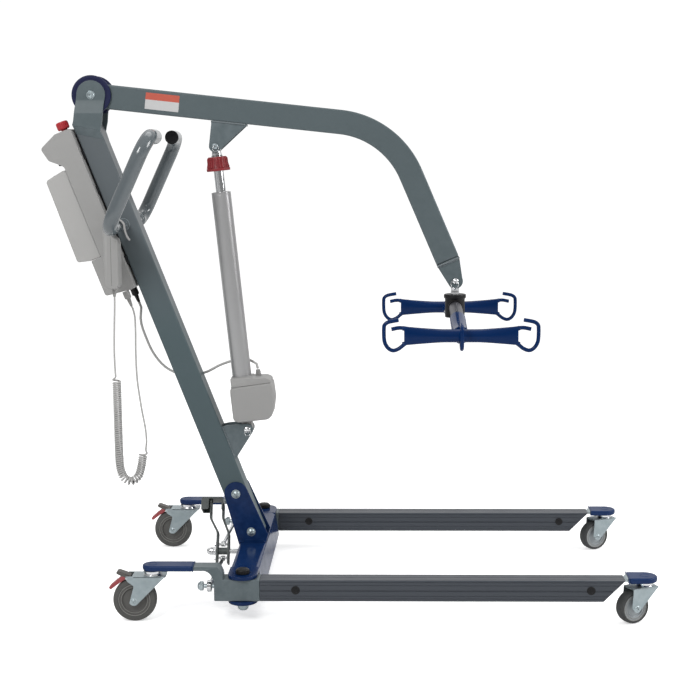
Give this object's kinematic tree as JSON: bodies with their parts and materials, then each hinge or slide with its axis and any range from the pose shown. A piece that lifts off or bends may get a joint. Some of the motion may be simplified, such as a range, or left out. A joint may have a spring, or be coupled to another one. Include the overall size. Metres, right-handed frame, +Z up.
{
  "type": "patient lift hoist",
  "caption": "Mobile patient lift: leaning mast on opening legs with casters, curved arm raised by an electric actuator, hanging cradle with sling hooks, and a handset on a coiled cord.",
  "frame": {"origin": "on the floor, below the middle of the object's bounding box", "axes": "+X towards the open front ends of the legs, +Y to the object's left, +Z up"},
  "size_m": [1.4402, 0.6895, 1.2485],
  "materials": {
    "grey_paint": "satin grey powder coat",
    "leg_grey": "dark grey anodised, finely ribbed",
    "blue_paint": "navy blue powder coat",
    "blue_plastic": "navy blue moulded plastic",
    "zinc": "bright zinc plate",
    "chrome": "polished",
    "black_plastic": "fine grain",
    "case_plastic": "light warm grey, fine grain",
    "actuator_grey": "grey painted tube",
    "red_plastic": "red moulded plastic",
    "tyre_rubber": "grey non-marking rubber",
    "cord_grey": "light grey cable jacket"
  },
  "bodies": {
    "base": {"crossmember": "blue_paint", "mast_bolt_upper": "zinc", "mast_bolt_lower": "zinc", "mast_tube": "grey_paint", "mast_head": "grey_paint", "boom_pivot_bolt": "zinc", "actuator_pin": "chrome", "push_handle": "grey_paint", "right_handle_plug": "black_plastic", "left_handle_plug": "black_plastic", "control_box": "case_plastic", "handset_socket": "black_plastic", "handset": "case_plastic", "handset_cord_upper": "cord_grey", "handset_cord_coil": "cord_grey", "handset_cord_tail": "cord_grey", "motor_cable": "cord_grey", "pedal_pivot_bolt": "chrome", "right_leg_pivot_bolt": "zinc", "left_leg_pivot_bolt": "zinc"},
    "up_button": {"handset_up_button": "black_plastic"},
    "down_button": {"handset_down_button": "black_plastic"},
    "battery": {"battery_pack": "case_plastic"},
    "stop_button": {"emergency_stop_button": "red_plastic"},
    "pedal": {"pedal_lever": "grey_paint"},
    "right_tie": {"right_tie_rod": "chrome"},
    "left_tie": {"left_tie_rod": "chrome"},
    "boom": {"boom_tube": "grey_paint", "right_pivot_disc": "blue_paint", "left_pivot_disc": "blue_paint", "boom_tip_fork": "grey_paint", "boom_tip_pin": "chrome", "boom_bracket": "grey_paint"},
    "hanger": {"hanger_yoke": "chrome"},
    "cradle": {"cradle_collar": "black_plastic", "cradle_cross_tube": "grey_paint", "cradle_bar_right": "blue_paint", "cradle_bar_left": "blue_paint"},
    "actuator": {"actuator_tube": "actuator_grey", "motor_housing": "case_plastic"},
    "rod": {"actuator_rod": "chrome"},
    "knob": {"lowering_knob": "red_plastic"},
    "right_leg": {"right_leg_block": "grey_paint", "right_leg_tube": "leg_grey", "right_rear_arm_cover": "blue_plastic", "right_front_cover": "blue_plastic"},
    "rear_right_caster": {"rear_right_fork": "zinc"},
    "rear_right_wheel": {"rear_right_wheel": "tyre_rubber"},
    "front_right_caster": {"front_right_fork": "zinc"},
    "front_right_wheel": {"front_right_wheel": "tyre_rubber"},
    "rear_right_brake": {"rear_right_brake_pedal": "red_plastic"},
    "left_leg": {"left_leg_block": "grey_paint", "left_leg_tube": "leg_grey", "left_rear_arm_cover": "blue_plastic", "left_front_cover": "blue_plastic"},
    "rear_left_caster": {"rear_left_fork": "zinc"},
    "rear_left_wheel": {"rear_left_wheel": "tyre_rubber"},
    "front_left_caster": {"front_left_fork": "zinc"},
    "front_left_wheel": {"front_left_wheel": "tyre_rubber"},
    "rear_left_brake": {"rear_left_brake_pedal": "red_plastic"}
  },
  "joints": [
    {"name": "boom_lift", "type": "hinge", "parent": "base", "child": "boom", "pos_m": [-0.601, 0, 1.2018], "axis": [0, -1, 0], "range_deg": [-8, 50]},
    {"name": "actuator_tilt", "type": "hinge", "parent": "base", "child": "actuator", "pos_m": [-0.2409, 0, 0.3884], "axis": [0, -1, 0], "range_deg": [-3, 1]},
    {"name": "actuator_extend", "type": "slide", "parent": "actuator", "child": "rod", "axis": [-0.0969, 0, 0.9953], "range_m": [-0.045, 0.27]},
    {"name": "knob_turn", "type": "hinge", "parent": "rod", "child": "knob", "pos_m": [-0.3082, 0, 1.0795], "axis": [-0.0969, 0, 0.9953], "continuous": true},
    {"name": "hanger_swing", "type": "hinge", "parent": "boom", "child": "hanger", "pos_m": [0.26925, 0, 0.7534], "axis": [0, -1, 0], "range_deg": [-60, 60]},
    {"name": "cradle_turn", "type": "hinge", "parent": "hanger", "child": "cradle", "pos_m": [0.26925, 0, 0.7534], "axis": [0, 0, 1], "continuous": true},
    {"name": "right_leg_swing", "type": "hinge", "parent": "base", "child": "right_leg", "pos_m": [-0.229, -0.305, 0.075], "axis": [0, 0, -1], "range_deg": [0, 12]},
    {"name": "left_leg_swing", "type": "hinge", "parent": "base", "child": "left_leg", "pos_m": [-0.229, 0.305, 0.075], "axis": [0, 0, -1], "range_deg": [-12, 0]},
    {"name": "pedal_turn", "type": "hinge", "parent": "base", "child": "pedal", "pos_m": [-0.349, 0, 0.074], "axis": [1, 0, 0], "range_deg": [0, 56.1]},
    {"name": "right_tie_slide", "type": "slide", "parent": "base", "child": "right_tie", "axis": [0, 1, 0], "range_m": [0, 0.017]},
    {"name": "left_tie_slide", "type": "slide", "parent": "base", "child": "left_tie", "axis": [0, -1, 0], "range_m": [0, 0.017]},
    {"name": "battery_slide", "type": "slide", "parent": "base", "child": "battery", "axis": [-0.9336, 0, -0.3584], "range_m": [0, 0.06]},
    {"name": "stop_press", "type": "slide", "parent": "base", "child": "stop_button", "axis": [0.3584, 0, -0.9336], "range_m": [0, 0.004]},
    {"name": "up_press", "type": "slide", "parent": "base", "child": "up_button", "axis": [1, 0, 0], "range_m": [0, 0.001], "stiffness_N_per_m": 1000},
    {"name": "down_press", "type": "slide", "parent": "base", "child": "down_button", "axis": [1, 0, 0], "range_m": [0, 0.001], "stiffness_N_per_m": 1000},
    {"name": "rear_right_swivel", "type": "hinge", "parent": "right_leg", "child": "rear_right_caster", "pos_m": [-0.435, -0.31, 0.11], "axis": [0, 0, 1], "continuous": true},
    {"name": "rear_right_wheel_spin", "type": "hinge", "parent": "rear_right_caster", "child": "rear_right_wheel", "pos_m": [-0.477, -0.31, 0.05], "axis": [0, 1, 0], "continuous": true},
    {"name": "rear_right_brake_press", "type": "hinge", "parent": "rear_right_caster", "child": "rear_right_brake", "pos_m": [-0.492, -0.31, 0.104], "axis": [0, 1, 0], "range_deg": [0, 5]},
    {"name": "front_right_swivel", "type": "hinge", "parent": "right_leg", "child": "front_right_caster", "pos_m": [0.6899, -0.305, 0.085], "axis": [0, 0, 1], "continuous": true},
    {"name": "front_right_wheel_spin", "type": "hinge", "parent": "front_right_caster", "child": "front_right_wheel", "pos_m": [0.6605, -0.31998, 0.0375], "axis": [-0.454, 0.891, 0], "continuous": true},
    {"name": "rear_left_swivel", "type": "hinge", "parent": "left_leg", "child": "rear_left_caster", "pos_m": [-0.435, 0.31, 0.11], "axis": [0, 0, 1], "continuous": true},
    {"name": "rear_left_wheel_spin", "type": "hinge", "parent": "rear_left_caster", "child": "rear_left_wheel", "pos_m": [-0.477, 0.31, 0.05], "axis": [0, 1, 0], "continuous": true},
    {"name": "rear_left_brake_press", "type": "hinge", "parent": "rear_left_caster", "child": "rear_left_brake", "pos_m": [-0.492, 0.31, 0.104], "axis": [0, 1, 0], "range_deg": [0, 5]},
    {"name": "front_left_swivel", "type": "hinge", "parent": "left_leg", "child": "front_left_caster", "pos_m": [0.6899, 0.305, 0.085], "axis": [0, 0, 1], "continuous": true},
    {"name": "front_left_wheel_spin", "type": "hinge", "parent": "front_left_caster", "child": "front_left_wheel", "pos_m": [0.6605, 0.29002, 0.0375], "axis": [-0.454, 0.891, 0], "continuous": true}
  ],
  "couplings": [
    {"joint": "actuator_tilt", "follows": "boom_lift", "ratio": -0.047},
    {"joint": "actuator_extend", "follows": "boom_lift", "m_per_rad": 0.306},
    {"joint": "left_leg_swing", "follows": "right_leg_swing", "ratio": -1},
    {"joint": "pedal_turn", "follows": "right_leg_swing", "ratio": 4.6667},
    {"joint": "right_tie_slide", "follows": "right_leg_swing", "m_per_rad": 0.0797},
    {"joint": "left_tie_slide", "follows": "right_leg_swing", "m_per_rad": 0.0797}
  ]
}
